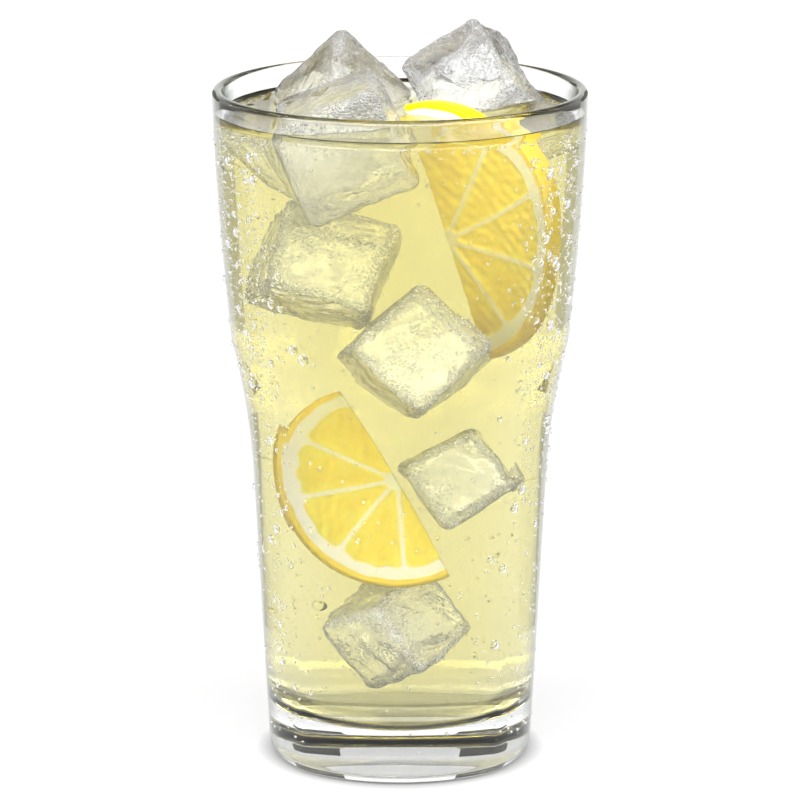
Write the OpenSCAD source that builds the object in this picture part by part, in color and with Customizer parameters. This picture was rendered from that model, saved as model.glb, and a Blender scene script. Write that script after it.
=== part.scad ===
// Tall tumbler of iced lemonade with a half wheel of lemon.
// Millimetres, +Z up. The origin is the middle of the foot, on the surface it stands on.

/* [Glass] */
// Height of the glass
glass_h = 158; // [130:1:200]
// Outer radius of the body at the rim
rim_r = 43.1; // [38:0.1:56]
// Outer radius of the body at the foot, before the panels are cut
foot_r = 31.8; // [27:0.1:40]
// How far the upper side swells past a straight taper
swell = 0.7; // [0:0.1:2]
// Wall at the lip
lip_wall = 2.6; // [1.6:0.1:4]
// Wall low in the glass
low_wall = 4.6; // [3.4:0.1:7]
// Glass under the drink
base_t = 12; // [6:0.5:24]
// Rounding between the floor and the wall inside
floor_fillet = 8; // [3:0.5:14]
// Rounding of the heel
heel_r = 3.2; // [1:0.1:5]
// Depth of the hollow under the foot
punt_depth = 1.5; // [0.5:0.1:3]
// Radius of the hollow under the foot
punt_r = 22; // [14:0.5:24]

/* [Panels] */
// Height of the crown of each arched panel
arch_h = 100; // [80:1:115]
// Length over which a panel curves out to its arch
shoulder_len = 33; // [20:1:45]
// Depth of a panel at the foot
cut_foot = 1.15; // [0.4:0.05:2]
// Depth of a panel where its shoulder starts
cut_waist = 2.4; // [1:0.1:3.2]
// How far behind the middle the centre of a panel's curve lies
panel_setback = 5.5; // [2:0.5:9]

/* [Drink] */
// Free height between the drink and the rim
fill_gap = 6.5; // [5:0.5:20]

/* [Ice] */
// Side of each of the two large cubes
ice_size = 25; // [19:0.5:28]
// Side of the small cube
small_ice_size = 22.5; // [16:0.5:24]
// Rounding of the edges of the ice
ice_round = 2.5; // [0.5:0.1:4]
// From the inner wall to the middle of a large cube
ice_inset = 20.6; // [19:0.1:23]
// From the inner wall to the middle of the small cube
small_ice_inset = 15.2; // [15:0.1:18]

/* [Lemon] */
// Radius of the lemon
lemon_r = 29; // [20:0.5:30]
// Thickness of the slice
lemon_t = 5; // [3:0.5:8]
// Rounding of the rind's edges
rind_round = 1; // [0.2:0.1:1.4]
// How far the slice rises out of the drink
lemon_rise = 3; // [1:0.5:6]
// Gap between the rind and the inner wall
lemon_gap = 1.2; // [0.5:0.1:4]
// Distance of the slice from the middle of the glass
lemon_side = 5.9; // [3:0.1:8]

/* [Hidden] */
$fn = 96;
level_z = glass_h - fill_gap;
lip_r = lip_wall / 2;
waist_z = arch_h - shoulder_len;
swell_z = 0.48 * glass_h;
punt_ball = (punt_r * punt_r + punt_depth * punt_depth) / (2 * punt_depth);
lemon_z = level_z + lemon_rise - lemon_r;
lemon_turn = -36;
lemon_tilt = -18;

// Smooth step from 0 to 1 between a and b
function ease(a, b, z) = let (t = min(1, max(0, (z - a) / (b - a)))) t * t * (3 - 2 * t);

// Outer radius of the body: a straight taper with a gentle swell over its upper half
function hump(u) = u > 0 && u < 1 ? 6.75 * u * u * (1 - u) : 0;
function body_r(z) = foot_r + (rim_r - foot_r) * z / glass_h
    + swell * hump((z - swell_z) / (glass_h - swell_z));

// Wall: thick low down, thin at the lip
function wall(z) = low_wall + (lip_wall + 0.2 - low_wall) * ease(0.32 * glass_h, 0.86 * glass_h, z);
function inner_r(z) = body_r(z) - wall(z);

// Middle of a panel: straight to the waist, then a curve that meets the body at the arch
waist_r = body_r(waist_z) - cut_waist;
panel_slope = (waist_r - foot_r + cut_foot) / waist_z;
panel_bend = (body_r(arch_h) - waist_r - panel_slope * shoulder_len) / (shoulder_len * shoulder_len);
function panel_r(z) = waist_r + panel_slope * (z - waist_z)
    + panel_bend * pow(max(0, z - waist_z), 2);

// Quarter turn of radius r about c from angle a, in n steps
function arc(c, r, a, b, n) = [for (i = [0:n]) c + r * [cos(a + (b - a) * i / n),
    sin(a + (b - a) * i / n)]];

// Stations from a to b in n steps
function steps(a, b, n) = [for (i = [0:n]) a + (b - a) * i / n];

outer_line = concat(
    arc([body_r(heel_r) - heel_r, heel_r], heel_r, -90, 0, 6),
    [for (z = steps(swell_z, glass_h - lip_r, 9)) [body_r(z), z]],
    arc([body_r(glass_h) - lip_r, glass_h - lip_r], lip_r, 20, 90, 5));
lip_inside = arc([body_r(glass_h) - lip_r, glass_h - lip_r], lip_r, 110, 160, 4);
inner_line = concat(
    [for (z = steps(glass_h - 2 * lip_wall, base_t + floor_fillet + 4, 14)) [inner_r(z), z]],
    arc([inner_r(base_t + floor_fillet) - floor_fillet, base_t + floor_fillet],
        floor_fillet, 0, -90, 8),
    [[0, base_t]]);
fill_line = concat(
    [[0, base_t]],
    arc([inner_r(base_t + floor_fillet) - floor_fillet, base_t + floor_fillet],
        floor_fillet, -90, 0, 8),
    [for (z = steps(base_t + floor_fillet + 4, glass_h - 2 * lip_wall, 14)) [inner_r(z), z]],
    [[inner_r(glass_h - 2 * lip_wall), glass_h]],
    [[0, glass_h]]);
panel_line = concat(
    arc([panel_r(heel_r) - heel_r, heel_r], heel_r, -90, 0, 5),
    [[panel_r(waist_z), waist_z]],
    [for (z = steps(waist_z + 6, arch_h + 6, 6)) [panel_r(z), z]],
    [[2 * rim_r, arch_h + 16], [2 * rim_r, glass_h + 10], [0, glass_h + 10], [0, 0]]);

// The body inside the curve of one panel that faces +X
module panel_envelope() {
    translate([-panel_setback, 0, 0])
        rotate_extrude()
            polygon([for (p = panel_line) [p[0] > 0 ? p[0] + panel_setback : 0, p[1]]]);
}

module glass() {
    color([0.93, 0.96, 0.95, 0.35])
        difference() {
            intersection() {
                rotate_extrude()
                    polygon(concat([[0, 0]], outer_line, lip_inside, inner_line));
                panel_envelope();
                rotate([0, 0, 90]) panel_envelope();
                rotate([0, 0, 180]) panel_envelope();
                rotate([0, 0, 270]) panel_envelope();
            }
            translate([0, 0, punt_depth - punt_ball]) sphere(r = punt_ball);
        }
}

module rounded_square(size, r) {
    square([size, size - 2 * r], center = true);
    square([size - 2 * r, size], center = true);
    for (x = [-1, 1], y = [-1, 1])
        translate([x * (size / 2 - r), y * (size / 2 - r)]) circle(r = r);
}

// A cube of ice with all its edges rounded
module ice_cube(size) {
    intersection() {
        linear_extrude(size + 4, center = true) rounded_square(size, ice_round);
        rotate([90, 0, 0]) linear_extrude(size + 4, center = true) rounded_square(size, ice_round);
        rotate([0, 90, 0]) linear_extrude(size + 4, center = true) rounded_square(size, ice_round);
    }
}

// A cube of ice set in from the inner wall, at an angle around the glass
module place_ice(size, inset, around, lift, turn) {
    rotate([0, 0, around])
        translate([inner_r(level_z) - inset, 0, level_z + lift])
            rotate([0, 0, -around])
                rotate(turn) ice_cube(size);
}

module ice_back_left() {
    color([0.9, 0.93, 0.92, 0.6]) place_ice(ice_size, ice_inset, 136, -2.4, [26, -42, -22]);
}

module ice_front_left() {
    color([0.9, 0.93, 0.92, 0.6]) place_ice(ice_size, ice_inset, 231, -3.4, [6, -24, 0]);
}

module ice_right() {
    color([0.9, 0.93, 0.92, 0.6])
        place_ice(small_ice_size, small_ice_inset, 47, 3.4, [-27, -34, -7]);
}

// Half wheel with its cut upright, its rind just inside the wall
module lemon_slice() {
    reach = inner_r(lemon_z) - lemon_gap;
    edge = lemon_side + lemon_t / 2;
    color("gold")
        rotate([0, 0, lemon_turn])
            translate([sqrt(reach * reach - edge * edge) - lemon_r, lemon_side, lemon_z])
                rotate([0, lemon_tilt, 0])
                    intersection() {
                        rotate([90, 0, 0]) rind_disc();
                        translate([0, -lemon_t, -lemon_r - 1])
                            cube([lemon_r + 1, 2 * lemon_t, 2 * lemon_r + 2]);
                    }
}

module rind_disc() {
    rotate_extrude() {
        translate([0, -lemon_t / 2]) square([lemon_r - rind_round, lemon_t]);
        translate([0, rind_round - lemon_t / 2]) square([lemon_r, lemon_t - 2 * rind_round]);
        for (y = [-1, 1])
            translate([lemon_r - rind_round, y * (lemon_t / 2 - rind_round)]) circle(r = rind_round);
    }
}

// The drink fills the glass to its level, round the ice and the lemon
module lemonade() {
    color([0.93, 0.88, 0.55, 0.8])
        difference() {
            rotate_extrude() polygon(fill_line);
            translate([0, 0, level_z + 20]) cube([4 * rim_r, 4 * rim_r, 40], center = true);
            ice_back_left();
            ice_front_left();
            ice_right();
            lemon_slice();
        }
}

glass();
lemonade();
ice_back_left();
ice_front_left();
ice_right();
lemon_slice();
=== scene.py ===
import bpy
import math
import numpy as np
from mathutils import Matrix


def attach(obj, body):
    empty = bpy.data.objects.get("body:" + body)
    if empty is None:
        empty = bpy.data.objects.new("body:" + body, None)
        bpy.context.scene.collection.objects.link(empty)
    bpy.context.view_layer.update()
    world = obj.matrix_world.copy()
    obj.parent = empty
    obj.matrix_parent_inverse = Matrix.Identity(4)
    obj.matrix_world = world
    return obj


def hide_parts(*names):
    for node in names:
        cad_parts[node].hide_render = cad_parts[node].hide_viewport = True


# A tall tumbler of iced lemonade. Forms are in millimetres, which the mesh maker turns into metres;
# what a shader node or the camera takes is in metres.

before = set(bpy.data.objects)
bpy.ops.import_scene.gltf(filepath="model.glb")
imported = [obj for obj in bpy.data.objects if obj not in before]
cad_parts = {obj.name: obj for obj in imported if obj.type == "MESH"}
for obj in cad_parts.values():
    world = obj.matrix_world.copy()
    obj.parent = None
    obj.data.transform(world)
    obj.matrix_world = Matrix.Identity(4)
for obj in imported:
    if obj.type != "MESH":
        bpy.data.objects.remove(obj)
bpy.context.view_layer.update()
rng = np.random.default_rng(11)
print("frame loaded")

glass = {
    "height": 158, "rimRadius": 43.1, "footRadius": 31.8,
    "swell": 0.7, "swellFrom": 0.48,        # bulge of the upper body, from this share of the height
    "lipWall": 2.6, "lowWall": 4.6, "base": 12, "floorFillet": 8, "heel": 3.2,
    "puntDepth": 1.5, "puntRadius": 22,
    "archHeight": 100, "shoulder": 33, "cutFoot": 1.15, "cutWaist": 2.4, "setback": 5.5,
    "edgeCut": 0.055,                       # small flat where panels meet the body and each other
    "columns": 368,
}
drink = {
    "level": 151.5, "overlap": 0.25,        # reaches this far into the glass
    "climb": 1.5, "reach": 1.1,             # meniscus height and how fast it falls off
    "scatter": 3.6, "forward": 0.5,         # cloud, per metre, and how much of it goes on forwards
    "absorb": (2.6, 4.2, 19.5),             # per metre in red, green and blue
}


# Grids and meshes

def makeMesh(name, verts, faces, material, attributes=None):
    mesh = bpy.data.meshes.new(name)
    mesh.from_pydata((np.asarray(verts, float) * 0.001).tolist(), [], [list(f) for f in faces])
    mesh.polygons.foreach_set("use_smooth", np.full(len(mesh.polygons), True))
    for key, values in (attributes or {}).items():
        if values.ndim == 2:
            data = np.concatenate([values, np.ones((len(values), 1))], axis=1)
            mesh.attributes.new(key, "FLOAT_COLOR", "POINT").data.foreach_set("color", data.ravel())
        else:
            mesh.attributes.new(key, "FLOAT", "POINT").data.foreach_set("value", values)
    mesh.materials.append(material)
    mesh.update()
    piece = bpy.data.objects.new(name, mesh)
    bpy.context.collection.objects.link(piece)
    return piece


# Quads of a grid of rows x columns that closes round its columns, with a fan at each end point
def tubeFaces(rows, columns):
    i = np.arange(rows - 1)[:, None] * columns + 1
    j = np.arange(columns)[None, :]
    k = (j + 1) % columns
    quads = np.stack([i + j, i + k, i + columns + k, i + columns + j], -1).reshape(-1, 4)
    last = 1 + (rows - 1) * columns
    end = 1 + rows * columns
    start = [(0, 1 + (c + 1) % columns, 1 + c) for c in range(columns)]
    finish = [(end, last + c, last + (c + 1) % columns) for c in range(columns)]
    return quads.tolist() + start + finish


# One closed skin from points of rows x columns x 3 and the two end points
def closedSkin(points, start, end):
    rows, columns = points.shape[:2]
    verts = np.concatenate([[start], points.reshape(-1, 3), [end]])
    return verts, tubeFaces(rows, columns)


# Smaller of a and b, with a narrow flat between them: min(a, b, (a + b) / 2 - k)
def flatMin(a, b, k):
    return np.minimum(np.minimum(a, b), (a + b) / 2 - k)


# Smaller of a and b, blended where they differ by less than k: min(a, b) - max(k - |a - b|, 0)^2 / 4k
def softMin(a, b, k):
    return np.minimum(a, b) - np.maximum(k - np.abs(a - b), 0) ** 2 / (4 * k)


# 0 up to a, 1 from b, 3t^2 - 2t^3 between
def easeStep(a, b, x):
    t = np.clip((x - a) / (b - a), 0, 1)
    return t * t * (3 - 2 * t)


# Sum of sines along random directions, over the root of their number: a smooth bumpy field, mostly
# from -1 to 1, with bumps about size apart
def bumps(points, size, seed, waves=14):
    r = np.random.default_rng(seed)
    k = r.normal(size=(3, waves))
    k *= 2 * np.pi / size / np.linalg.norm(k, axis=0) * r.uniform(0.6, 1.5, waves)
    return np.sin(points @ k + r.uniform(0, 6.28, waves)).sum(-1) / math.sqrt(waves)


# Glass form, by the same rules as the frame's glass

# Straight taper + swell * 27/4 u^2 (1 - u), u from 0 where the swell starts to 1 at the rim
def bodyRadius(z):
    g = glass
    low = g["swellFrom"]
    u = np.clip((z - low * g["height"]) / ((1 - low) * g["height"]), 0, 1)
    taper = g["footRadius"] + (g["rimRadius"] - g["footRadius"]) * z / g["height"]
    return taper + g["swell"] * 6.75 * u * u * (1 - u)


def innerRadius(z):
    g = glass
    thick = g["lowWall"] + (g["lipWall"] + 0.2 - g["lowWall"]) * easeStep(
        0.32 * g["height"], 0.86 * g["height"], z)
    return bodyRadius(z) - thick


# Middle of a panel: straight up to the waist, then r + slope h + bend h^2 out to the arch
def panelRadius(z):
    g = glass
    waist = g["archHeight"] - g["shoulder"]
    r = bodyRadius(waist) - g["cutWaist"]
    slope = (r - g["footRadius"] + g["cutFoot"]) / waist
    bend = (bodyRadius(g["archHeight"]) - r - slope * g["shoulder"]) / g["shoulder"] ** 2
    return r + slope * (z - waist) + bend * np.maximum(0, z - waist) ** 2


# Outer radius at angle a, height z: the body, cut by four panels, each a circle of radius
# p = panel + setback round a point e behind the middle: sqrt(p^2 - (e sin b)^2) - e cos b
def sideRadius(a, z):
    e = glass["setback"]
    p = panelRadius(z) + e

    def panelAt(b):
        return np.sqrt(p ** 2 - (e * np.sin(b)) ** 2) - e * np.cos(b)

    b = np.abs((a + np.pi / 4) % (np.pi / 2) - np.pi / 4)
    near, far = panelAt(b), panelAt(np.pi / 2 - b)
    cut = flatMin(near, far, glass["edgeCut"]) + 40 * easeStep(
        glass["archHeight"] + 4, glass["archHeight"] + 16, z)
    return flatMin(bodyRadius(z), cut, glass["edgeCut"])


# Quarter turns about (r, z), angles in degrees
def arcLine(r, z, radius, a, b, n):
    t = np.radians(np.linspace(a, b, n))
    return np.stack([r + radius * np.cos(t), z + radius * np.sin(t)], 1)


# Rings of points at these radii and heights
def around(radii, heights, angles):
    radii = np.broadcast_to(radii, (len(heights), len(angles)))
    z = np.broadcast_to(np.asarray(heights)[:, None], radii.shape)
    return np.stack([radii * np.cos(angles), radii * np.sin(angles), z], -1)


# Inside of the glass, from the middle of the floor to the top of the round corner
def cavityLine():
    g = glass
    low = g["base"] + g["floorFillet"]
    corner = arcLine(innerRadius(low) - g["floorFillet"], low, g["floorFillet"], -90, -3, 14)
    floor = np.stack([np.linspace(1, corner[0, 0] - 1, 12), np.full(12, g["base"])], 1)
    return floor, corner, low


# Materials

def material(name):
    m = bpy.data.materials.new(name)
    m.use_nodes = True
    m.node_tree.nodes.clear()
    return m, m.node_tree


def node(tree, kind, inputs=None, **settings):
    n = tree.nodes.new(kind)
    for key, value in settings.items():
        setattr(n, key, value)
    for key, value in (inputs or {}).items():
        if isinstance(value, bpy.types.NodeSocket):
            tree.links.new(value, n.inputs[key])
        else:
            n.inputs[key].default_value = value
    return n


def noiseBump(tree, scale, strength, distance, detail=2.0):
    where = node(tree, "ShaderNodeTexCoord").outputs["Object"]
    noise = node(tree, "ShaderNodeTexNoise", {"Vector": where, "Scale": scale, "Detail": detail})
    return node(tree, "ShaderNodeBump", {"Strength": strength, "Distance": distance,
                                         "Height": noise.outputs["Fac"]}).outputs["Normal"]


def glassMaterial():
    m, tree = material("clear_glass")
    normal = noiseBump(tree, 55, 0.25, 0.0004, 1.0)
    clear = node(tree, "ShaderNodeBsdfPrincipled", {
        "Base Color": (0.99, 1, 0.995, 1), "Roughness": 0.0, "IOR": 1.5,
        "Transmission Weight": 1.0, "Normal": normal})
    paintedEdgeShade = node(tree, "ShaderNodeBsdfPrincipled", {       # painted shade: a dark grey-green skin mixed in where the glass is seen edge on, for the dark outline at its silhouettes
        "Base Color": (0.1, 0.11, 0.085, 1), "Roughness": 0.05, "IOR": 1.5, "Normal": normal})
    # Share of the painted edge shade, growing as the surface turns edge on
    facing = node(tree, "ShaderNodeLayerWeight", {"Blend": 0.5}).outputs["Facing"]
    along = node(tree, "ShaderNodeMapRange", {"Value": facing, "From Min": 0.66, "From Max": 0.9,
                                              "To Max": 0.95})
    mix = node(tree, "ShaderNodeMixShader", {"Fac": along.outputs[0]})
    tree.links.new(clear.outputs[0], mix.inputs[1])
    tree.links.new(paintedEdgeShade.outputs[0], mix.inputs[2])
    node(tree, "ShaderNodeOutputMaterial", {"Surface": mix.outputs[0]})
    return m


def drinkMaterial():
    d = drink
    m, tree = material("lemonade")
    normal = noiseBump(tree, 90, 0.2, 0.0003)
    shader = node(tree, "ShaderNodeBsdfPrincipled", {
        "Base Color": (1, 1, 1, 1), "Roughness": 0.02, "IOR": 1.34,
        "Transmission Weight": 1.0, "Normal": normal})
    most = max(d["absorb"])
    soak = node(tree, "ShaderNodeVolumeAbsorption", {
        "Color": [1 - a / most for a in d["absorb"]] + [1], "Density": most})
    cloud = node(tree, "ShaderNodeVolumeScatter", {
        "Color": (1, 1, 1, 1), "Density": d["scatter"], "Anisotropy": d["forward"]})
    both = node(tree, "ShaderNodeAddShader")
    tree.links.new(soak.outputs[0], both.inputs[0])
    tree.links.new(cloud.outputs[0], both.inputs[1])
    node(tree, "ShaderNodeOutputMaterial", {"Surface": shader.outputs[0], "Volume": both.outputs[0]})
    return m


# Bend of light, milkiness, depth of the crackle, painted-shade greys of the snow and of the clear
# ice above the drink, and the share of milk and crackle that is left in the drink
iceLooks = {
    "ice": {"ior": 1.31, "milk": 0.9, "crackle": 1.0, "snow": 0.48, "clear": 0.71, "wet": 0.35},
    "sunk_ice": {"ior": 1.26, "milk": 1.5, "crackle": 1.0, "snow": 0.97, "clear": 0.99, "wet": 0.75},
}


# Clear ice with milky patches and a crackle of specks that is thickest along the edges
def iceMaterial(name):
    f = iceLooks[name]
    m, tree = material(name)
    where = node(tree, "ShaderNodeTexCoord").outputs["Object"]
    rise = node(tree, "ShaderNodeSeparateXYZ", {"Vector": where}).outputs["Z"]

    def byHeight(inDrink, above):       # one value in the drink, another above its surface
        return node(tree, "ShaderNodeMapRange", {
            "Value": rise, "From Min": (drink["level"] - 2.5) / 1000,
            "From Max": (drink["level"] + 2.5) / 1000, "To Min": inDrink,
            "To Max": above}).outputs[0]

    edge = node(tree, "ShaderNodeAttribute", attribute_name="edge").outputs["Fac"]
    patch = node(tree, "ShaderNodeTexNoise", {"Vector": where, "Scale": 130, "Detail": 5})
    cloud = node(tree, "ShaderNodeTexNoise", {"Vector": where, "Scale": 260, "Detail": 3})
    specks = node(tree, "ShaderNodeTexVoronoi", {"Vector": where, "Scale": 1500})
    zone = node(tree, "ShaderNodeMath", {0: patch.outputs["Fac"], 1: edge}, operation="ADD")
    spread = node(tree, "ShaderNodeMapRange", {"Value": zone.outputs[0], "From Min": 0.44,
                                               "From Max": 0.95})
    grain = node(tree, "ShaderNodeMapRange", {"Value": specks.outputs["Distance"], "From Min": 0.2,
                                              "From Max": 0.58, "To Min": 1.0, "To Max": 0.0})
    dots = node(tree, "ShaderNodeMath", {0: grain.outputs[0], 1: spread.outputs[0]},
                operation="MULTIPLY")
    rough = node(tree, "ShaderNodeMapRange", {"Value": spread.outputs[0], "To Min": 0.03,
                                              "To Max": 0.16})
    soft = node(tree, "ShaderNodeBump", {"Strength": 0.4, "Distance": 0.0012,
                                         "Height": patch.outputs["Fac"]}).outputs["Normal"]
    normal = node(tree, "ShaderNodeBump", {
        "Strength": byHeight(f["crackle"] * f["wet"], f["crackle"]), "Distance": 0.0009,
        "Normal": soft, "Height": dots.outputs[0]}).outputs["Normal"]
    white = node(tree, "ShaderNodeMapRange", {"Value": cloud.outputs["Fac"], "From Min": 0.35,
                                              "From Max": 0.8, "To Min": 0.25, "To Max": 0.9})
    rim = node(tree, "ShaderNodeMath", {0: edge, 1: 0.45, 2: 0.18}, operation="MULTIPLY_ADD")
    amount = node(tree, "ShaderNodeMath", {0: white.outputs[0], 1: rim.outputs[0]},
                  operation="MULTIPLY")
    amount = node(tree, "ShaderNodeMath", {0: dots.outputs[0], 1: 0.6, 2: amount.outputs[0]},
                  operation="MULTIPLY_ADD")
    milk = byHeight(f["milk"] * f["wet"], f["milk"])
    amount = node(tree, "ShaderNodeMath", {0: amount.outputs[0], 1: milk}, operation="MULTIPLY")
    tint = byHeight(0.985, f["clear"])          # grey above the drink as painted shade, wet and clear in it
    # The snow is greyed above the drink as painted shade too
    shade = byHeight(0.97, f["snow"])
    clear = node(tree, "ShaderNodeBsdfPrincipled", {
        "Base Color": tint, "Roughness": rough.outputs[0], "IOR": f["ior"],
        "Transmission Weight": 1.0, "Normal": normal})
    snow = node(tree, "ShaderNodeBsdfPrincipled", {
        "Base Color": shade, "Roughness": 0.5, "Normal": normal})
    mix = node(tree, "ShaderNodeMixShader", {"Fac": amount.outputs[0]})
    tree.links.new(clear.outputs[0], mix.inputs[1])
    tree.links.new(snow.outputs[0], mix.inputs[2])
    node(tree, "ShaderNodeOutputMaterial", {"Surface": mix.outputs[0]})
    return m


lemonForm = {"rind": 1.5, "pith": 2.5, "membrane": 0.4, "core": 2.0, "corner": 2.2,
             "flesh": (0.98, 0.76, 0.0), "fleshPale": (0.99, 0.86, 0.05),
             "pithTint": (0.99, 0.96, 0.78), "rindTint": (0.99, 0.73, 0.0),
             "glow": 0.12}      # share of light that comes through from behind


def lemonMaterial():
    m, tree = material("lemon")
    where = node(tree, "ShaderNodeTexCoord").outputs["Object"]
    tint = node(tree, "ShaderNodeAttribute", attribute_name="tint").outputs["Color"]
    peel = node(tree, "ShaderNodeAttribute", attribute_name="peel").outputs["Fac"]
    pores = node(tree, "ShaderNodeTexVoronoi", {"Vector": where, "Scale": 700})
    pulp = node(tree, "ShaderNodeTexNoise", {"Vector": where, "Scale": 420, "Detail": 3})
    height = node(tree, "ShaderNodeMix", {"Factor": peel, "A": pulp.outputs["Fac"],
                                          "B": pores.outputs["Distance"]})
    normal = node(tree, "ShaderNodeBump", {"Strength": 0.2, "Distance": 0.0003,
                                           "Height": height.outputs[0]}).outputs["Normal"]
    rough = node(tree, "ShaderNodeMapRange", {"Value": pulp.outputs["Fac"], "To Min": 0.15,
                                              "To Max": 0.45})
    shader = node(tree, "ShaderNodeBsdfPrincipled", {
        "Base Color": tint, "Roughness": rough.outputs[0], "IOR": 1.38, "Normal": normal,
        "Subsurface Weight": 0.2, "Subsurface Radius": (0.004, 0.003, 0.001),
        "Subsurface Scale": 0.6})
    through = node(tree, "ShaderNodeBsdfTranslucent", {"Color": tint, "Normal": normal})
    mix = node(tree, "ShaderNodeMixShader", {"Fac": lemonForm["glow"]})
    tree.links.new(shader.outputs[0], mix.inputs[1])
    tree.links.new(through.outputs[0], mix.inputs[2])
    node(tree, "ShaderNodeOutputMaterial", {"Surface": mix.outputs[0]})
    return m


def clearMaterial(name, ior):
    m, tree = material(name)
    normal = noiseBump(tree, 400, 0.05, 0.0002)
    shader = node(tree, "ShaderNodeBsdfPrincipled", {
        "Base Color": (1, 1, 1, 1), "Roughness": 0.01, "IOR": ior,
        "Transmission Weight": 1.0, "Normal": normal})
    node(tree, "ShaderNodeOutputMaterial", {"Surface": shader.outputs[0]})
    return m


glassLook = glassMaterial()
drinkLook = drinkMaterial()
iceLook = iceMaterial("ice")
sunkIceLook = iceMaterial("sunk_ice")
lemonLook = lemonMaterial()
dewLook = clearMaterial("dew", 1.33)
bubbleLook = clearMaterial("bubbles", 0.75)     # air in the drink bends light the other way
speckLook = clearMaterial("specks", 0.76)
print("materials made")


# Ice

# Turn matrix Rz Ry Rx, degrees
def turnMatrix(turn):
    a, b, c = np.radians(turn)
    rx = np.array([[1, 0, 0], [0, np.cos(a), -np.sin(a)], [0, np.sin(a), np.cos(a)]])
    ry = np.array([[np.cos(b), 0, np.sin(b)], [0, 1, 0], [-np.sin(b), 0, np.cos(b)]])
    rz = np.array([[np.cos(c), -np.sin(c), 0], [np.sin(c), np.cos(c), 0], [0, 0, 1]])
    return rz @ ry @ rx


iceBlocks = {
    "ice_back_left": {"at": (-13.8, 13.5, 149.1), "size": 25, "turn": (26, -42, -22), "node": True},
    "ice_front_left": {"at": (-12.2, -15.1, 148.1), "size": 25, "turn": (6, -24, 0), "node": True},
    "ice_right": {"at": (16.9, 18.1, 154.9), "size": 22.5, "turn": (-27, -34, -7), "node": True},
    "sunk_ice_a": {"at": (-13.3, -3.5, 119.5), "size": 22.8, "turn": (-24, 16, -7), "node": False},
    "sunk_ice_b": {"at": (3.5, -15.1, 101.5), "size": 22.4, "turn": (-20, 44, -9), "node": False},
    "sunk_ice_c": {"at": (11.7, -11.3, 70.8), "size": 18.9, "turn": (-13, 58, -6), "node": False},
    "sunk_ice_d": {"at": (-0.6, -14.5, 35), "size": 20.6, "turn": (-41, 55, 5), "node": False},
}
iceForm = {"round": 2.5, "steps": 64, "melt": 0.5, "dents": 0.16, "crackle": 0.14,
           "hollow": 0.12}      # how much smaller than the block its hollow in the drink is


# Each face of a cube over (u, v) from -1 to 1: q = half * (u, v, 1), then
# p = inner + round * (q - inner) / |q - inner|, where inner = q held to half - round
def iceBlock(size, seed, shrink=0.0):
    f = iceForm
    half = size / 2
    t = np.sin(np.linspace(-np.pi / 2, np.pi / 2, f["steps"])) * 0.35 + 0.65 * np.linspace(
        -1, 1, f["steps"])
    u, v = np.meshgrid(t * half, t * half, indexing="ij")
    top = np.full_like(u, half)
    sides = [(u, v, top), (v, u, -top), (top, u, v), (-top, v, u), (v, top, u), (u, -top, v)]
    q = np.concatenate([np.stack(s, -1).reshape(-1, 3) for s in sides])
    inner = np.clip(q, f["round"] - half, half - f["round"])
    normal = (q - inner) / np.linalg.norm(q - inner, axis=1, keepdims=True)
    p = inner + f["round"] * normal
    edge = np.sort(np.abs(p), axis=1)[:, 1] / half       # 1 along the edges, less inside a face
    edge = easeStep(0.72, 0.99, edge + 0.06 * bumps(p, 7, seed + 5))
    wave = f["melt"] * (bumps(p, 17, seed) - 0.8) + f["dents"] * bumps(p, 4.5, seed + 1)
    wave = wave - 0.5 * np.exp(-((bumps(p, 12, seed + 2) - 1.2) / 0.25) ** 2)
    rough = np.clip(edge + 0.7 * bumps(p, 9, seed + 3) - 0.35, 0, 1)
    wave = wave - f["crackle"] * rough * (1 + bumps(p, 1.5, seed + 4, 40))
    p = p + normal * (np.minimum(wave, 0.0)[:, None] - shrink)
    i = np.arange(f["steps"] - 1)
    a = (i[:, None] * f["steps"] + i[None, :]).ravel()
    quad = np.stack([a, a + f["steps"], a + f["steps"] + 1, a + 1], 1)
    faces = np.concatenate([quad + n * f["steps"] ** 2 for n in range(6)])
    key = np.round(q * 1000).astype(int)
    _, keep, back = np.unique(key, axis=0, return_index=True, return_inverse=True)
    return p[keep], back.ravel()[faces], edge[keep]


cavities = []
for seed, (name, block) in enumerate(iceBlocks.items()):
    turn = turnMatrix(block["turn"])
    verts, faces, edge = iceBlock(block["size"], 31 + 7 * seed)
    piece = makeMesh(name + "_look", verts @ turn.T + block["at"], faces,
                     iceLook if block["node"] else sunkIceLook, attributes={"edge": edge})
    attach(piece, "root")
    if block["node"]:
        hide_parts(name)
    verts, faces, edge = iceBlock(block["size"], 31 + 7 * seed, iceForm["hollow"])
    cavities.append(makeMesh("cavity_" + name, verts @ turn.T + block["at"], faces, drinkLook))
print("ice made:", len(iceBlocks))


# Lemon

lemonSlices = {
    "lemon_upper": {"at": (9.4, 0.4, 125.5), "radius": 29, "thick": 5, "turn": (0, -18, -36),
                    "cuts": (49, 10, -31, -70), "node": "lemon_slice"},
    "lemon_lower": {"at": (-0.6, -14.1, 70.5), "radius": 25.3, "thick": 4.5, "turn": (20, 24, -170),
                    "cuts": (52, 12, -28, -68), "node": None},
}


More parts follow.
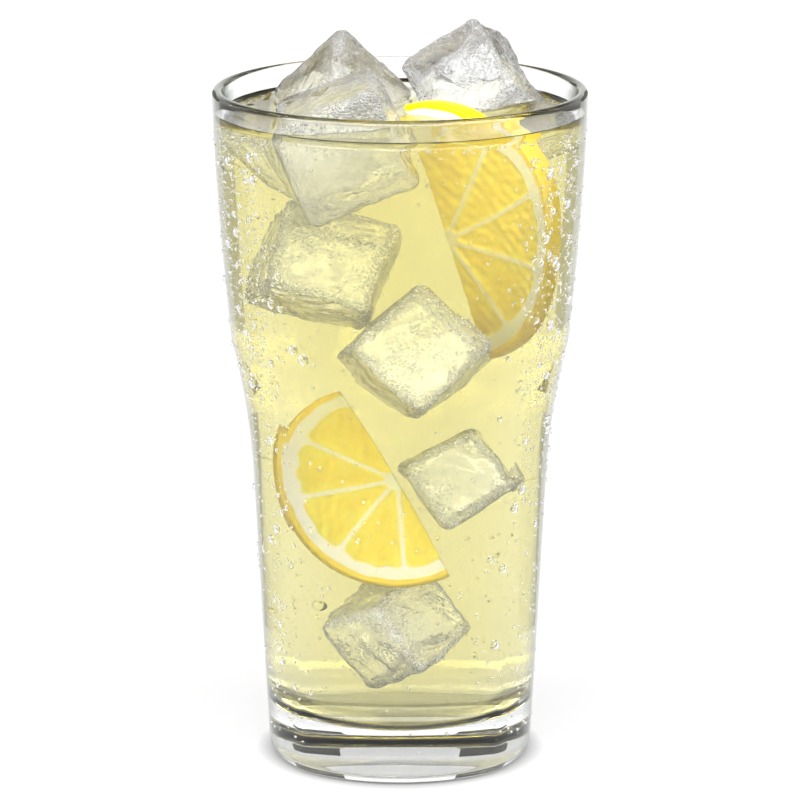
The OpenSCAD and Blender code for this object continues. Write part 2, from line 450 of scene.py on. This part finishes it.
# Half wheel as a closed skin: row t goes from the middle of one side out to the outline,
# over the rounded edge and back on the other side; column s follows the outline.
# inside = distance into the flesh from membrane, pith and core, which colours and sinks it
def lemonSlice(s):
    f = lemonForm
    radius, half, bevelSize = s["radius"], s["thick"] / 2, 0.8
    arc = np.radians(np.linspace(-90, 90, 230))
    straight = np.linspace(1, -1, 112)[1:-1]
    line = np.concatenate([np.stack([radius * np.cos(arc), radius * np.sin(arc)], 1),
                           np.stack([0 * straight, radius * straight], 1)])
    centre = np.array([0.42 * radius, 0])
    out = np.sin(np.linspace(0.02, 1, 62) * np.pi / 2) ** 0.9
    bevel = np.radians(np.linspace(0, 90, 5))[1:]
    share = np.concatenate([out * (1 - bevelSize / radius),
                            1 - bevelSize / radius * (1 - np.sin(bevel))])
    share = np.concatenate([share, share[::-1]])
    y = np.concatenate([np.zeros(62), -bevelSize * (1 - np.cos(bevel))])
    y = np.concatenate([half + y, -(half + y)[::-1]])
    xz = centre + (line - centre)[None] * share[:, None, None]
    p = np.stack([xz[..., 0], np.broadcast_to(y[:, None], xz.shape[:2]), xz[..., 1]], -1)
    verts, faces = closedSkin(p, (centre[0], half, 0), (centre[0], -half, 0))
    rho = np.hypot(verts[:, 0], verts[:, 2])
    phi = np.arctan2(verts[:, 2], verts[:, 0])
    cuts = np.radians(np.array(s["cuts"]))
    gap = np.abs(phi[:, None] - cuts[None])
    wall = (rho[:, None] * np.sin(np.minimum(gap, np.pi / 2))).min(1)
    wobble = 0.35 * bumps(verts, 6, 3)
    inside = softMin(wall - f["membrane"] / 2, radius - f["rind"] - f["pith"] + wobble - rho,
                     f["corner"])
    inside = softMin(inside, rho - f["core"], 1.0)
    pulp = easeStep(0.0, 0.55, inside)
    side = easeStep(half - 0.5, half - 0.1, np.abs(verts[:, 1]))
    rind = easeStep(radius - f["rind"] - 0.25, radius - f["rind"] + 0.25, rho + wobble * 0.4)
    streak = bumps(np.stack([phi * 9, rho / 5, verts[:, 1] * 0.1], 1), 1.3, 9) * 0.5 + 0.5
    flesh = np.array(f["flesh"]) + (np.array(f["fleshPale"]) - np.array(f["flesh"])) * np.clip(
        0.25 + 0.4 * (streak - 0.5) + 0.5 * (1 - easeStep(0, 3, inside)), 0, 1)[:, None]
    tint = np.array(f["pithTint"]) * (1 - pulp[:, None]) + flesh * pulp[:, None]
    tint = tint * (1 - rind[:, None]) + np.array(f["rindTint"]) * rind[:, None]
    pulpRise = 0.25 * bumps(verts, 3, 5) * pulp * 0.5 - 0.25 * easeStep(0, 1, inside)
    verts[:, 1] += np.sign(verts[:, 1]) * side * pulpRise
    return verts, faces, tint, rind


for name, s in lemonSlices.items():
    verts, faces, tint, rind = lemonSlice(s)
    piece = makeMesh(name, verts @ turnMatrix(s["turn"]).T + s["at"], faces, lemonLook,
                     attributes={"tint": tint, "peel": rind})
    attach(piece, "root")
    if s["node"]:
        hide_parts(s["node"])
print("lemon made")


# Glass

# Angles u + c sin(4u) / 4: closer together at the four ridges
def glassAngles(n):
    u = np.linspace(0, 2 * np.pi, n, endpoint=False)
    return u + 0.55 / 4 * np.sin(4 * u)


def glassSkin():
    g = glass
    a = glassAngles(g["columns"])
    heel, top = g["heel"], g["height"] - g["lipWall"] / 2
    edge = sideRadius(a[None], np.full((1, 1), heel))
    r = np.linspace(2, g["puntRadius"], 12)                     # hollow under the foot
    rows = [around(r[:, None], g["puntDepth"] * (1 - (r / g["puntRadius"]) ** 2), a)]
    t = np.linspace(0.15, 1, 5)[:, None]                        # flat ring, then the heel
    rows.append(around(g["puntRadius"] * (1 - t) + (edge - heel) * t, np.zeros(5), a))
    t = np.radians(np.linspace(10, 90, 10))
    rows.append(around(edge - heel * (1 - np.sin(t))[:, None], heel * (1 - np.cos(t)), a))
    z = np.concatenate([np.linspace(4.5, 62, 26), np.linspace(63, 77, 12), np.linspace(77.6, 103, 74),
                        np.linspace(104.5, top, 28)])
    rows.append(around(sideRadius(a[None], z[:, None]), z, a))
    lip = g["lipWall"] / 2
    line = arcLine(bodyRadius(g["height"]) - lip, top, lip, 12, 172, 12)
    rows.append(around(line[:, :1], line[:, 1], a))
    floor, corner, low = cavityLine()                           # and down the inside
    z = np.linspace(top - 1.5, low + 1.5, 44)
    rows.append(around(innerRadius(z)[:, None], z, a))
    rows.append(around(corner[::-1, :1], corner[::-1, 1], a))
    rows.append(around(floor[::-1, :1], floor[::-1, 1], a))
    return closedSkin(np.concatenate(rows), (0, 0, g["puntDepth"]), (0, 0, g["base"]))


verts, faces = glassSkin()
tumbler = makeMesh("tumbler", verts, faces, glassLook)
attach(tumbler, "root")
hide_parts("glass")
print("glass made:", len(faces), "faces")


# Drink

# Distance from points to the nearest block of ice, in its own axes:
# |max(|q| - half + round, 0)| - round
def iceDistance(points):
    nearest = np.full(len(points), 99.0)
    for block in iceBlocks.values():
        q = np.abs((points - block["at"]) @ turnMatrix(block["turn"]))
        q = q - block["size"] / 2 + iceForm["round"]
        nearest = np.minimum(nearest, np.linalg.norm(np.maximum(q, 0), axis=1) - iceForm["round"])
    return nearest


# Floor, corner and wall of the glass pushed out by overlap, then a top that climbs
# climb * exp(-distance / reach) at the wall and a little at the ice
def drinkSkin():
    d = drink
    a = np.linspace(0, 2 * np.pi, 256, endpoint=False)
    floor, corner, low = cavityLine()
    rows = [around(floor[:, :1], floor[:, 1] - d["overlap"], a)]
    out = corner + d["overlap"] * np.array([0.7, -0.7])
    rows.append(around(out[:, :1], out[:, 1], a))
    z = np.linspace(low + 1.5, d["level"] + d["climb"], 60)
    rows.append(around(innerRadius(z)[:, None] + d["overlap"], z, a))
    wall = float(innerRadius(d["level"])) + d["overlap"]
    away = np.concatenate([np.linspace(0.1, 4, 16), np.linspace(4.6, wall - 0.6, 76)])
    top = around((wall - away)[:, None], np.full(len(away), d["level"]), a)
    flat = top.reshape(-1, 3)
    near = np.maximum(iceDistance(flat), 0)
    lift = d["climb"] * np.exp(-np.repeat(away, len(a)) / d["reach"]) + 0.9 * np.exp(-near / 0.8)
    flat[:, 2] += np.minimum(lift, d["climb"]) + 0.06 * bumps(flat, 9, 77)
    rows.append(flat.reshape(top.shape))
    return closedSkin(np.concatenate(rows), (0, 0, glass["base"] - d["overlap"]), (0, 0, d["level"]))


verts, faces = drinkSkin()
liquid = makeMesh("lemonade_fill", verts, faces, drinkLook)
for cavity in cavities:
    cut = liquid.modifiers.new("cut", "BOOLEAN")
    cut.operation, cut.solver, cut.object = "DIFFERENCE", "MANIFOLD", cavity
carved = bpy.data.meshes.new_from_object(liquid.evaluated_get(bpy.context.evaluated_depsgraph_get()))
liquid.modifiers.clear()
liquid.data = carved
for cavity in cavities:
    bpy.data.objects.remove(cavity)
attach(liquid, "root")
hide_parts("lemonade")
print("drink made:", len(carved.polygons), "faces")


# Dew on the glass and bubbles in the drink

# Many domes or balls in one mesh: point = middle + r * (across, round, h * out) for each
def scatter(name, middles, outs, radii, height, rings, sides, look, full=False):
    t = np.linspace(0, np.pi if full else np.pi * 0.56, rings + 1)[1:]
    s = np.linspace(0, 2 * np.pi, sides, endpoint=False)
    if full:
        t = t[:-1]
    ring = np.stack([np.sin(t)[:, None] * np.cos(s), np.sin(t)[:, None] * np.sin(s),
                     height * np.cos(t)[:, None] * np.ones(sides)], -1)
    end = -height if full else height * np.cos(t[-1])
    unit = np.concatenate([[[0, 0, height]], ring.reshape(-1, 3), [[0, 0, end]]])
    up = np.array([0, 0, 1.0])
    across = np.cross(up, outs)
    across /= np.linalg.norm(across, axis=1, keepdims=True)
    other = np.cross(outs, across)
    basis = np.stack([across, other, outs], 1)
    points = middles[:, None] + radii[:, None, None] * np.einsum("vk,nkc->nvc", unit, basis)
    faces = tubeFaces(len(t), sides)
    quads = np.array([f if len(f) == 4 else list(f) + [-1] for f in faces])
    steps = np.arange(len(middles))[:, None, None] * len(unit)
    every = np.where(quads[None] < 0, -1, quads[None] + steps).reshape(-1, 4)
    piece = makeMesh(name, points.reshape(-1, 3), [[i for i in f if i >= 0] for f in every.tolist()],
                     look)
    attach(piece, "root")
    return piece


# Random points on the outside of the glass, kept by chance spread(a, z), with normals
# (cos a + turn sin a, sin a - turn cos a, -slope)
def outsidePoints(n, low, high, spread):
    a = rng.uniform(0, 2 * np.pi, n)
    z = rng.uniform(low, high, n)
    keep = rng.uniform(0, 1, n) < spread(a, z)
    a, z = a[keep], z[keep]
    r = sideRadius(a, z)
    slope = sideRadius(a, z + 0.5) - sideRadius(a, z - 0.5)
    turn = (sideRadius(a + 0.01, z) - sideRadius(a - 0.01, z)) / 0.02 / r
    out = np.stack([np.cos(a) + turn * np.sin(a), np.sin(a) - turn * np.cos(a), -slope], 1)
    out /= np.linalg.norm(out, axis=1, keepdims=True)
    return np.stack([r * np.cos(a), r * np.sin(a), z], 1), out


# Drops tried, heights, least radius and how much larger they get, and height of a drop over its
# radius. Then how they thin out: over the bearing from side (1) to front (0), at the very outline
# by a share, and below the arches to a share, with a few left everywhere
dewForm = {
    "fine": {"tried": 27000, "low": 8, "high": 151, "least": 0.13, "more": 0.4, "power": 2,
             "dome": 0.75, "rings": 2, "sides": 6, "toFront": (0.62, 0.86), "outline": (0.93, 0.975),
             "thinned": 0.9, "arches": (75, 105), "below": 0.22, "left": 0.02},
    "coarse": {"tried": 1240, "low": 18, "high": 147, "least": 0.4, "more": 0.95, "power": 3,
               "dome": 0.7, "rings": 5, "sides": 14, "toFront": (0.45, 0.8), "outline": (0.92, 0.97),
               "thinned": 0.8, "arches": (80, 110), "below": 0.3, "left": 0.07},
}


# Chance of a drop at bearing a, height z
def dewChance(d, a, z):
    side = np.abs(np.cos(a))
    side = easeStep(*d["toFront"], side) * (1 - d["thinned"] * easeStep(*d["outline"], side))
    return side * (d["below"] + (1 - d["below"]) * easeStep(*d["arches"], z)) + d["left"]


for name, d in dewForm.items():
    points, outs = outsidePoints(d["tried"], d["low"], d["high"], lambda a, z: dewChance(d, a, z))
    radii = d["least"] + d["more"] * rng.uniform(0, 1, len(points)) ** d["power"]
    scatter("dew_" + name, points, outs, radii, d["dome"], d["rings"], d["sides"], dewLook)
    print(name, "dew:", len(points))

# Bubbles in a ring at the waterline and down the wall; gap is to the wall, and the two depths are
# how far they reach in from the surface and from the wall on average
bubbles = {"ring": 420, "wall": 260, "radius": (0.12, 0.42), "wallRadius": (0.12, 0.55),
           "wallHeight": (24, 146), "gap": 0.05, "ringDepth": 0.7, "wallDepth": 1.5, "iceGap": 0.2}
a = rng.uniform(0, 2 * np.pi, bubbles["ring"])
radii = rng.uniform(*bubbles["radius"], bubbles["ring"])
z = drink["level"] - radii - rng.exponential(bubbles["ringDepth"], bubbles["ring"])
r = innerRadius(z) - radii - bubbles["gap"]
ringPoints = np.stack([r * np.cos(a), r * np.sin(a), z], 1)
a = rng.uniform(0, 2 * np.pi, bubbles["wall"])
z = rng.uniform(*bubbles["wallHeight"], bubbles["wall"])
more = rng.uniform(*bubbles["wallRadius"], bubbles["wall"])
r = innerRadius(z) - more - bubbles["gap"] - rng.exponential(bubbles["wallDepth"], bubbles["wall"])
wallPoints = np.stack([r * np.cos(a), r * np.sin(a), z], 1)
points = np.concatenate([ringPoints, wallPoints])
radii = np.concatenate([radii, more])
free = iceDistance(points) > radii + bubbles["iceGap"]
points, radii = points[free], radii[free]
outs = np.tile([1.0, 0, 0], (len(points), 1))
scatter("bubbles", points, outs, radii, 1.0, 6, 10, bubbleLook, full=True)
print("bubbles:", len(points))

# Air caught in the ice: some along the edges, some in clouds; the insets are from the faces
specks = {"edge": 260, "cloud": 240, "radius": (0.1, 0.34), "inset": 2.2, "edgeInset": 1.5,
          "cloudInset": 1.7}
middles, radii = [], []
for seed, block in enumerate(iceBlocks.values()):
    half = block["size"] / 2
    q = rng.uniform(-1, 1, (specks["edge"], 3)) * (half - specks["inset"])
    near = np.argsort(rng.uniform(0, 1, q.shape), axis=1)[:, :2]      # two axes pushed to the edge
    push = np.sign(np.take_along_axis(q, near, 1)) * (
        half - specks["edgeInset"] - rng.exponential(0.5, near.shape).clip(0, 2))
    np.put_along_axis(q, near, push, 1)
    c = rng.uniform(-1, 1, (specks["cloud"] * 6, 3)) * (half - specks["cloudInset"])
    c = c[bumps(c, 11, 50 + seed) > 1.1][:specks["cloud"]]
    q = np.concatenate([q[bumps(q, 8, 70 + seed) > -0.5], c])
    middles.append(q @ turnMatrix(block["turn"]).T + block["at"])
    radii.append(rng.uniform(0, 1, len(q)) ** 2)
points = np.concatenate(middles)
small, large = specks["radius"]
radii = small + (large - small) * np.concatenate(radii)
scatter("ice_specks", points, np.tile([1.0, 0, 0], (len(points), 1)), radii, 1.0, 4, 7, speckLook,
        full=True)
print("specks in the ice:", len(points))


# Stage, light and camera

# Half width, grey, and its own glow far out and close to the glass; the lower glow close to the glass
# is painted shade
table = {"size": 6000, "tint": 0.14, "glow": 0.78, "glowNearShaded": 0.7}


def floorMaterial():
    m, tree = material("pale_floor")
    normal = noiseBump(tree, 30, 0.02, 0.001)
    where = node(tree, "ShaderNodeTexCoord").outputs["Object"]
    reach = node(tree, "ShaderNodeVectorMath", {0: where}, operation="LENGTH").outputs["Value"]
    # Painted contact shadow: the floor's glow falls to nothing where the foot stands
    foot = node(tree, "ShaderNodeMapRange", {"Value": reach, "From Min": 0.027, "From Max": 0.034})
    # Painted shade: less glow close to the glass, which dims the floor seen through the drink's lower
    # part
    wide = node(tree, "ShaderNodeMapRange", {"Value": reach, "From Min": 0.05, "From Max": 0.4,
                                             "To Min": table["glowNearShaded"], "To Max": table["glow"]})
    glowWithPaintedShade = node(tree, "ShaderNodeMath", {0: foot.outputs[0], 1: wide.outputs[0]},
               operation="MULTIPLY")                        # painted contact shadow where the foot stands
    shader = node(tree, "ShaderNodeBsdfPrincipled", {
        "Base Color": (table["tint"],) * 3 + (1,), "Roughness": 0.9, "Specular IOR Level": 0.0,
        "Emission Color": (1, 1, 1, 1), "Emission Strength": glowWithPaintedShade.outputs[0], "Normal": normal})
    node(tree, "ShaderNodeOutputMaterial", {"Surface": shader.outputs[0]})
    return m


corners = np.array([[-1, -1, 0], [1, -1, 0], [1, 1, 0], [-1, 1, 0]]) * table["size"]
floor = makeMesh("floor", corners, [(0, 1, 2, 3)], floorMaterial())

studio = {"base": 1.1, "above": 0.4, "key": 8.6,   # plain light, overhead, large soft box in front
          "low": 18, "high": 62, "wide": 80}       # how high and how wide the soft box is, degrees


# 1 between two sines of height or bearing, with soft ends
def softBand(tree, value, low, high, blur):
    up = node(tree, "ShaderNodeMapRange", {"Value": value, "From Min": low - blur,
                                           "From Max": low + blur}, interpolation_type="SMOOTHSTEP")
    down = node(tree, "ShaderNodeMapRange", {"Value": value, "From Min": high - blur,
                                             "From Max": high + blur, "To Min": 1.0, "To Max": 0.0},
                interpolation_type="SMOOTHSTEP")
    return node(tree, "ShaderNodeMath", {0: up.outputs[0], 1: down.outputs[0]},
                operation="MULTIPLY").outputs[0]


def studioWorld():
    world = bpy.data.worlds.new("studio")
    world.use_nodes = True
    tree = world.node_tree
    tree.nodes.clear()
    direction = node(tree, "ShaderNodeTexCoord").outputs["Generated"]
    axes = node(tree, "ShaderNodeSeparateXYZ", {"Vector": direction}).outputs
    inHeight = softBand(tree, axes["Z"], math.sin(math.radians(studio["low"])),
                        math.sin(math.radians(studio["high"])), 0.06)
    inFront = softBand(tree, axes["Y"], -1.2, -math.cos(math.radians(studio["wide"])) * 0.8, 0.06)
    keyArea = node(tree, "ShaderNodeMath", {0: inHeight, 1: inFront}, operation="MULTIPLY")
    overhead = node(tree, "ShaderNodeMapRange", {
        "Value": axes["Z"], "From Min": 0.34, "From Max": 0.52, "To Min": studio["base"],
        "To Max": studio["above"]}, interpolation_type="SMOOTHSTEP")
    strength = node(tree, "ShaderNodeMath", {0: keyArea.outputs[0], 1: studio["key"],
                                             2: overhead.outputs[0]}, operation="MULTIPLY_ADD")
    plain = node(tree, "ShaderNodeBackground", {"Color": (1, 1, 1, 1),
                                                "Strength": strength.outputs[0]})
    node(tree, "ShaderNodeOutputWorld", {"Surface": plain.outputs[0]})
    return world


bpy.context.scene.world = studioWorld()

# Sheets that show only in and through clear pieces, on both sides of the middle at the back: mats on
# the floor that darken the glass's edges, and upright flags for its thick base. Bearings are in
# degrees from straight behind; glow is brightness
mats = {"low": 38, "high": 73, "near": 105, "far": 1300, "rise": 1, "glow": 0.5}
flags = {"low": 15, "high": 38, "away": 900, "foot": 70, "top": 340, "glow": 0.0}
cardSteps = 12


# Fan-shaped sheet: point = (t sin a, t cos a, rise)
def cardSheet(low, high, t, rise):
    n = cardSteps
    a = np.radians(np.linspace(low, high, n))
    points = np.stack([t[:, None] * np.sin(a), t[:, None] * np.cos(a),
                       rise[:, None] * np.ones(n)], -1)
    i = (np.arange(n - 1)[:, None] * n + np.arange(n - 1)[None]).ravel()
    return points.reshape(-1, 3), np.stack([i, i + 1, i + n + 1, i + n], 1)


def cardMaterial(name, glow):
    m, tree = material(name)
    normal = noiseBump(tree, 40, 0.05, 0.001)
    shader = node(tree, "ShaderNodeBsdfPrincipled", {
        "Base Color": (0.02, 0.02, 0.02, 1), "Roughness": 0.9, "Specular IOR Level": 0.0,
        "Emission Color": (1, 1, 1, 1), "Emission Strength": glow, "Normal": normal})
    node(tree, "ShaderNodeOutputMaterial", {"Surface": shader.outputs[0]})
    return m


def addCard(name, verts, faces, glow):
    card = makeMesh(name, verts, faces, cardMaterial(name, glow))
    card.visible_camera = card.visible_diffuse = card.visible_shadow = False
    card.visible_volume_scatter = False


for side, word in ((-1, "left"), (1, "right")):
    t = np.linspace(mats["near"], mats["far"], cardSteps)
    addCard("mat_edge_" + word, *cardSheet(side * mats["low"], side * mats["high"], t,
                                           np.full(cardSteps, float(mats["rise"]))), mats["glow"])
    t = np.full(cardSteps, float(flags["away"]))
    rise = np.linspace(flags["foot"], flags["top"], cardSteps)
    addCard("flag_" + word, *cardSheet(side * flags["low"], side * flags["high"], t, rise),
            flags["glow"])


shot = {"at": (0, -1.0478, 0.3462), "dip": 0.245, "lens": 208.9, "sensor": 36}   # metres, radians, mm
camera = bpy.data.objects.new("camera", bpy.data.cameras.new("camera"))
bpy.context.collection.objects.link(camera)
camera.location = shot["at"]
camera.rotation_euler = (math.pi / 2 - shot["dip"], 0, 0)
camera.data.lens = shot["lens"]
camera.data.sensor_width = shot["sensor"]
bpy.context.scene.camera = camera

scene = bpy.context.scene
scene.view_settings.view_transform = "Standard"
bounces = {"max_bounces": 32, "diffuse_bounces": 8, "transmission_bounces": 32,
           "volume_bounces": 24, "transparent_max_bounces": 32}
for key, value in bounces.items():
    setattr(scene.cycles, key, value)
print("stage, light and camera made")
